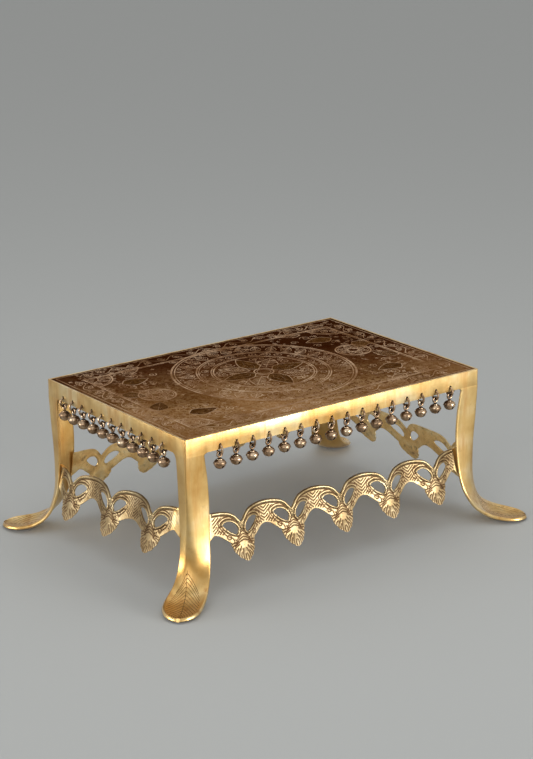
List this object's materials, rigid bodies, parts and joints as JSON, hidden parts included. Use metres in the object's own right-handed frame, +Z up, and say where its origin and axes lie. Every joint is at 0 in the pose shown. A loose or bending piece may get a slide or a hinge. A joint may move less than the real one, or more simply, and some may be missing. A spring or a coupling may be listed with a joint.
{
  "type": "bajot low table",
  "caption": "Low rectangular brass table with an engraved top, splayed spoon feet, openwork skirts of arches and palmettes, and rows of small bells swinging from the apron.",
  "frame": {"origin": "middle of the floor area under the table, between the four feet", "axes": "+X along the length, to the right as seen from the front; +Y towards the back; +Z up"},
  "size_m": [0.553, 0.4028, 0.2],
  "materials": {
    "frame": "polished cast brass, softly worn",
    "engraved_plate": "dark patinated brass with lighter engraved lines",
    "skirt": "satin cast brass with dark recesses",
    "bell": "tarnished cast brass"
  },
  "bodies": {
    "table": {"frame": "frame", "top_plate": "engraved_plate", "skirt_front": "skirt", "skirt_right": "skirt", "skirt_back": "skirt", "skirt_left": "skirt"},
    "bell_front_01": {"bell_front_01": "bell"},
    "bell_front_02": {"bell_front_02": "bell"},
    "bell_front_03": {"bell_front_03": "bell"},
    "bell_front_04": {"bell_front_04": "bell"},
    "bell_front_05": {"bell_front_05": "bell"},
    "bell_front_06": {"bell_front_06": "bell"},
    "bell_front_07": {"bell_front_07": "bell"},
    "bell_front_08": {"bell_front_08": "bell"},
    "bell_front_09": {"bell_front_09": "bell"},
    "bell_front_10": {"bell_front_10": "bell"},
    "bell_front_11": {"bell_front_11": "bell"},
    "bell_front_12": {"bell_front_12": "bell"},
    "bell_front_13": {"bell_front_13": "bell"},
    "bell_front_14": {"bell_front_14": "bell"},
    "bell_front_15": {"bell_front_15": "bell"},
    "bell_front_16": {"bell_front_16": "bell"},
    "bell_right_01": {"bell_right_01": "bell"},
    "bell_right_02": {"bell_right_02": "bell"},
    "bell_right_03": {"bell_right_03": "bell"},
    "bell_right_04": {"bell_right_04": "bell"},
    "bell_right_05": {"bell_right_05": "bell"},
    "bell_right_06": {"bell_right_06": "bell"},
    "bell_right_07": {"bell_right_07": "bell"},
    "bell_right_08": {"bell_right_08": "bell"},
    "bell_right_09": {"bell_right_09": "bell"},
    "bell_right_10": {"bell_right_10": "bell"},
    "bell_back_01": {"bell_back_01": "bell"},
    "bell_back_02": {"bell_back_02": "bell"},
    "bell_back_03": {"bell_back_03": "bell"},
    "bell_back_04": {"bell_back_04": "bell"},
    "bell_back_05": {"bell_back_05": "bell"},
    "bell_back_06": {"bell_back_06": "bell"},
    "bell_back_07": {"bell_back_07": "bell"},
    "bell_back_08": {"bell_back_08": "bell"},
    "bell_back_09": {"bell_back_09": "bell"},
    "bell_back_10": {"bell_back_10": "bell"},
    "bell_back_11": {"bell_back_11": "bell"},
    "bell_back_12": {"bell_back_12": "bell"},
    "bell_back_13": {"bell_back_13": "bell"},
    "bell_back_14": {"bell_back_14": "bell"},
    "bell_back_15": {"bell_back_15": "bell"},
    "bell_back_16": {"bell_back_16": "bell"},
    "bell_left_01": {"bell_left_01": "bell"},
    "bell_left_02": {"bell_left_02": "bell"},
    "bell_left_03": {"bell_left_03": "bell"},
    "bell_left_04": {"bell_left_04": "bell"},
    "bell_left_05": {"bell_left_05": "bell"},
    "bell_left_06": {"bell_left_06": "bell"},
    "bell_left_07": {"bell_left_07": "bell"},
    "bell_left_08": {"bell_left_08": "bell"},
    "bell_left_09": {"bell_left_09": "bell"},
    "bell_left_10": {"bell_left_10": "bell"},
    "bell_left_11": {"bell_left_11": "bell"}
  },
  "joints": [
    {"name": "bell_front_01_swing", "type": "hinge", "parent": "table", "child": "bell_front_01", "pos_m": [-0.17496, -0.1485, 0.1841], "axis": [0, -1, 0], "range_deg": [-15, 15]},
    {"name": "bell_front_02_swing", "type": "hinge", "parent": "table", "child": "bell_front_02", "pos_m": [-0.15138, -0.1485, 0.1841], "axis": [0, -1, 0], "range_deg": [-15, 15]},
    {"name": "bell_front_03_swing", "type": "hinge", "parent": "table", "child": "bell_front_03", "pos_m": [-0.1278, -0.1485, 0.1841], "axis": [0, -1, 0], "range_deg": [-15, 15]},
    {"name": "bell_front_04_swing", "type": "hinge", "parent": "table", "child": "bell_front_04", "pos_m": [-0.10422, -0.1485, 0.1841], "axis": [0, -1, 0], "range_deg": [-15, 15]},
    {"name": "bell_front_05_swing", "type": "hinge", "parent": "table", "child": "bell_front_05", "pos_m": [-0.08064, -0.1485, 0.1841], "axis": [0, -1, 0], "range_deg": [-15, 15]},
    {"name": "bell_front_06_swing", "type": "hinge", "parent": "table", "child": "bell_front_06", "pos_m": [-0.05706, -0.1485, 0.1841], "axis": [0, -1, 0], "range_deg": [-15, 15]},
    {"name": "bell_front_07_swing", "type": "hinge", "parent": "table", "child": "bell_front_07", "pos_m": [-0.03348, -0.1485, 0.1841], "axis": [0, -1, 0], "range_deg": [-15, 15]},
    {"name": "bell_front_08_swing", "type": "hinge", "parent": "table", "child": "bell_front_08", "pos_m": [-0.0099, -0.1485, 0.1841], "axis": [0, -1, 0], "range_deg": [-15, 15]},
    {"name": "bell_front_09_swing", "type": "hinge", "parent": "table", "child": "bell_front_09", "pos_m": [0.01368, -0.1485, 0.1841], "axis": [0, -1, 0], "range_deg": [-15, 15]},
    {"name": "bell_front_10_swing", "type": "hinge", "parent": "table", "child": "bell_front_10", "pos_m": [0.03726, -0.1485, 0.1841], "axis": [0, -1, 0], "range_deg": [-15, 15]},
    {"name": "bell_front_11_swing", "type": "hinge", "parent": "table", "child": "bell_front_11", "pos_m": [0.06084, -0.1485, 0.1841], "axis": [0, -1, 0], "range_deg": [-15, 15]},
    {"name": "bell_front_12_swing", "type": "hinge", "parent": "table", "child": "bell_front_12", "pos_m": [0.08442, -0.1485, 0.1841], "axis": [0, -1, 0], "range_deg": [-15, 15]},
    {"name": "bell_front_13_swing", "type": "hinge", "parent": "table", "child": "bell_front_13", "pos_m": [0.108, -0.1485, 0.1841], "axis": [0, -1, 0], "range_deg": [-15, 15]},
    {"name": "bell_front_14_swing", "type": "hinge", "parent": "table", "child": "bell_front_14", "pos_m": [0.13158, -0.1485, 0.1841], "axis": [0, -1, 0], "range_deg": [-15, 15]},
    {"name": "bell_front_15_swing", "type": "hinge", "parent": "table", "child": "bell_front_15", "pos_m": [0.15516, -0.1485, 0.1841], "axis": [0, -1, 0], "range_deg": [-15, 15]},
    {"name": "bell_front_16_swing", "type": "hinge", "parent": "table", "child": "bell_front_16", "pos_m": [0.17874, -0.1485, 0.1841], "axis": [0, -1, 0], "range_deg": [-15, 15]},
    {"name": "bell_right_01_swing", "type": "hinge", "parent": "table", "child": "bell_right_01", "pos_m": [0.2235, -0.09814, 0.1841], "axis": [1, 0, 0], "range_deg": [-12, 12]},
    {"name": "bell_right_02_swing", "type": "hinge", "parent": "table", "child": "bell_right_02", "pos_m": [0.2235, -0.07634, 0.1841], "axis": [1, 0, 0], "range_deg": [-12, 12]},
    {"name": "bell_right_03_swing", "type": "hinge", "parent": "table", "child": "bell_right_03", "pos_m": [0.2235, -0.05452, 0.1841], "axis": [1, 0, 0], "range_deg": [-12, 12]},
    {"name": "bell_right_04_swing", "type": "hinge", "parent": "table", "child": "bell_right_04", "pos_m": [0.2235, -0.03272, 0.1841], "axis": [1, 0, 0], "range_deg": [-12, 12]},
    {"name": "bell_right_05_swing", "type": "hinge", "parent": "table", "child": "bell_right_05", "pos_m": [0.2235, -0.0109, 0.1841], "axis": [1, 0, 0], "range_deg": [-12, 12]},
    {"name": "bell_right_06_swing", "type": "hinge", "parent": "table", "child": "bell_right_06", "pos_m": [0.2235, 0.0109, 0.1841], "axis": [1, 0, 0], "range_deg": [-12, 12]},
    {"name": "bell_right_07_swing", "type": "hinge", "parent": "table", "child": "bell_right_07", "pos_m": [0.2235, 0.03272, 0.1841], "axis": [1, 0, 0], "range_deg": [-12, 12]},
    {"name": "bell_right_08_swing", "type": "hinge", "parent": "table", "child": "bell_right_08", "pos_m": [0.2235, 0.05452, 0.1841], "axis": [1, 0, 0], "range_deg": [-12, 12]},
    {"name": "bell_right_09_swing", "type": "hinge", "parent": "table", "child": "bell_right_09", "pos_m": [0.2235, 0.07634, 0.1841], "axis": [1, 0, 0], "range_deg": [-12, 12]},
    {"name": "bell_right_10_swing", "type": "hinge", "parent": "table", "child": "bell_right_10", "pos_m": [0.2235, 0.09814, 0.1841], "axis": [1, 0, 0], "range_deg": [-12, 12]},
    {"name": "bell_back_01_swing", "type": "hinge", "parent": "table", "child": "bell_back_01", "pos_m": [0.17685, 0.1485, 0.1841], "axis": [0, 1, 0], "range_deg": [-15, 15]},
    {"name": "bell_back_02_swing", "type": "hinge", "parent": "table", "child": "bell_back_02", "pos_m": [0.15327, 0.1485, 0.1841], "axis": [0, 1, 0], "range_deg": [-15, 15]},
    {"name": "bell_back_03_swing", "type": "hinge", "parent": "table", "child": "bell_back_03", "pos_m": [0.12969, 0.1485, 0.1841], "axis": [0, 1, 0], "range_deg": [-15, 15]},
    {"name": "bell_back_04_swing", "type": "hinge", "parent": "table", "child": "bell_back_04", "pos_m": [0.10611, 0.1485, 0.1841], "axis": [0, 1, 0], "range_deg": [-15, 15]},
    {"name": "bell_back_05_swing", "type": "hinge", "parent": "table", "child": "bell_back_05", "pos_m": [0.08253, 0.1485, 0.1841], "axis": [0, 1, 0], "range_deg": [-15, 15]},
    {"name": "bell_back_06_swing", "type": "hinge", "parent": "table", "child": "bell_back_06", "pos_m": [0.05895, 0.1485, 0.1841], "axis": [0, 1, 0], "range_deg": [-15, 15]},
    {"name": "bell_back_07_swing", "type": "hinge", "parent": "table", "child": "bell_back_07", "pos_m": [0.03537, 0.1485, 0.1841], "axis": [0, 1, 0], "range_deg": [-15, 15]},
    {"name": "bell_back_08_swing", "type": "hinge", "parent": "table", "child": "bell_back_08", "pos_m": [0.01179, 0.1485, 0.1841], "axis": [0, 1, 0], "range_deg": [-15, 15]},
    {"name": "bell_back_09_swing", "type": "hinge", "parent": "table", "child": "bell_back_09", "pos_m": [-0.01179, 0.1485, 0.1841], "axis": [0, 1, 0], "range_deg": [-15, 15]},
    {"name": "bell_back_10_swing", "type": "hinge", "parent": "table", "child": "bell_back_10", "pos_m": [-0.03537, 0.1485, 0.1841], "axis": [0, 1, 0], "range_deg": [-15, 15]},
    {"name": "bell_back_11_swing", "type": "hinge", "parent": "table", "child": "bell_back_11", "pos_m": [-0.05895, 0.1485, 0.1841], "axis": [0, 1, 0], "range_deg": [-15, 15]},
    {"name": "bell_back_12_swing", "type": "hinge", "parent": "table", "child": "bell_back_12", "pos_m": [-0.08253, 0.1485, 0.1841], "axis": [0, 1, 0], "range_deg": [-15, 15]},
    {"name": "bell_back_13_swing", "type": "hinge", "parent": "table", "child": "bell_back_13", "pos_m": [-0.10611, 0.1485, 0.1841], "axis": [0, 1, 0], "range_deg": [-15, 15]},
    {"name": "bell_back_14_swing", "type": "hinge", "parent": "table", "child": "bell_back_14", "pos_m": [-0.12969, 0.1485, 0.1841], "axis": [0, 1, 0], "range_deg": [-15, 15]},
    {"name": "bell_back_15_swing", "type": "hinge", "parent": "table", "child": "bell_back_15", "pos_m": [-0.15327, 0.1485, 0.1841], "axis": [0, 1, 0], "range_deg": [-15, 15]},
    {"name": "bell_back_16_swing", "type": "hinge", "parent": "table", "child": "bell_back_16", "pos_m": [-0.17685, 0.1485, 0.1841], "axis": [0, 1, 0], "range_deg": [-15, 15]},
    {"name": "bell_left_01_swing", "type": "hinge", "parent": "table", "child": "bell_left_01", "pos_m": [-0.2235, 0.11394, 0.1841], "axis": [-1, 0, 0], "range_deg": [-12, 12]},
    {"name": "bell_left_02_swing", "type": "hinge", "parent": "table", "child": "bell_left_02", "pos_m": [-0.2235, 0.09213, 0.1841], "axis": [-1, 0, 0], "range_deg": [-12, 12]},
    {"name": "bell_left_03_swing", "type": "hinge", "parent": "table", "child": "bell_left_03", "pos_m": [-0.2235, 0.07032, 0.1841], "axis": [-1, 0, 0], "range_deg": [-12, 12]},
    {"name": "bell_left_04_swing", "type": "hinge", "parent": "table", "child": "bell_left_04", "pos_m": [-0.2235, 0.04851, 0.1841], "axis": [-1, 0, 0], "range_deg": [-12, 12]},
    {"name": "bell_left_05_swing", "type": "hinge", "parent": "table", "child": "bell_left_05", "pos_m": [-0.2235, 0.0267, 0.1841], "axis": [-1, 0, 0], "range_deg": [-12, 12]},
    {"name": "bell_left_06_swing", "type": "hinge", "parent": "table", "child": "bell_left_06", "pos_m": [-0.2235, 0.00489, 0.1841], "axis": [-1, 0, 0], "range_deg": [-12, 12]},
    {"name": "bell_left_07_swing", "type": "hinge", "parent": "table", "child": "bell_left_07", "pos_m": [-0.2235, -0.01692, 0.1841], "axis": [-1, 0, 0], "range_deg": [-12, 12]},
    {"name": "bell_left_08_swing", "type": "hinge", "parent": "table", "child": "bell_left_08", "pos_m": [-0.2235, -0.03873, 0.1841], "axis": [-1, 0, 0], "range_deg": [-12, 12]},
    {"name": "bell_left_09_swing", "type": "hinge", "parent": "table", "child": "bell_left_09", "pos_m": [-0.2235, -0.06054, 0.1841], "axis": [-1, 0, 0], "range_deg": [-12, 12]},
    {"name": "bell_left_10_swing", "type": "hinge", "parent": "table", "child": "bell_left_10", "pos_m": [-0.2235, -0.08235, 0.1841], "axis": [-1, 0, 0], "range_deg": [-12, 12]},
    {"name": "bell_left_11_swing", "type": "hinge", "parent": "table", "child": "bell_left_11", "pos_m": [-0.2235, -0.10416, 0.1841], "axis": [-1, 0, 0], "range_deg": [-12, 12]}
  ]
}
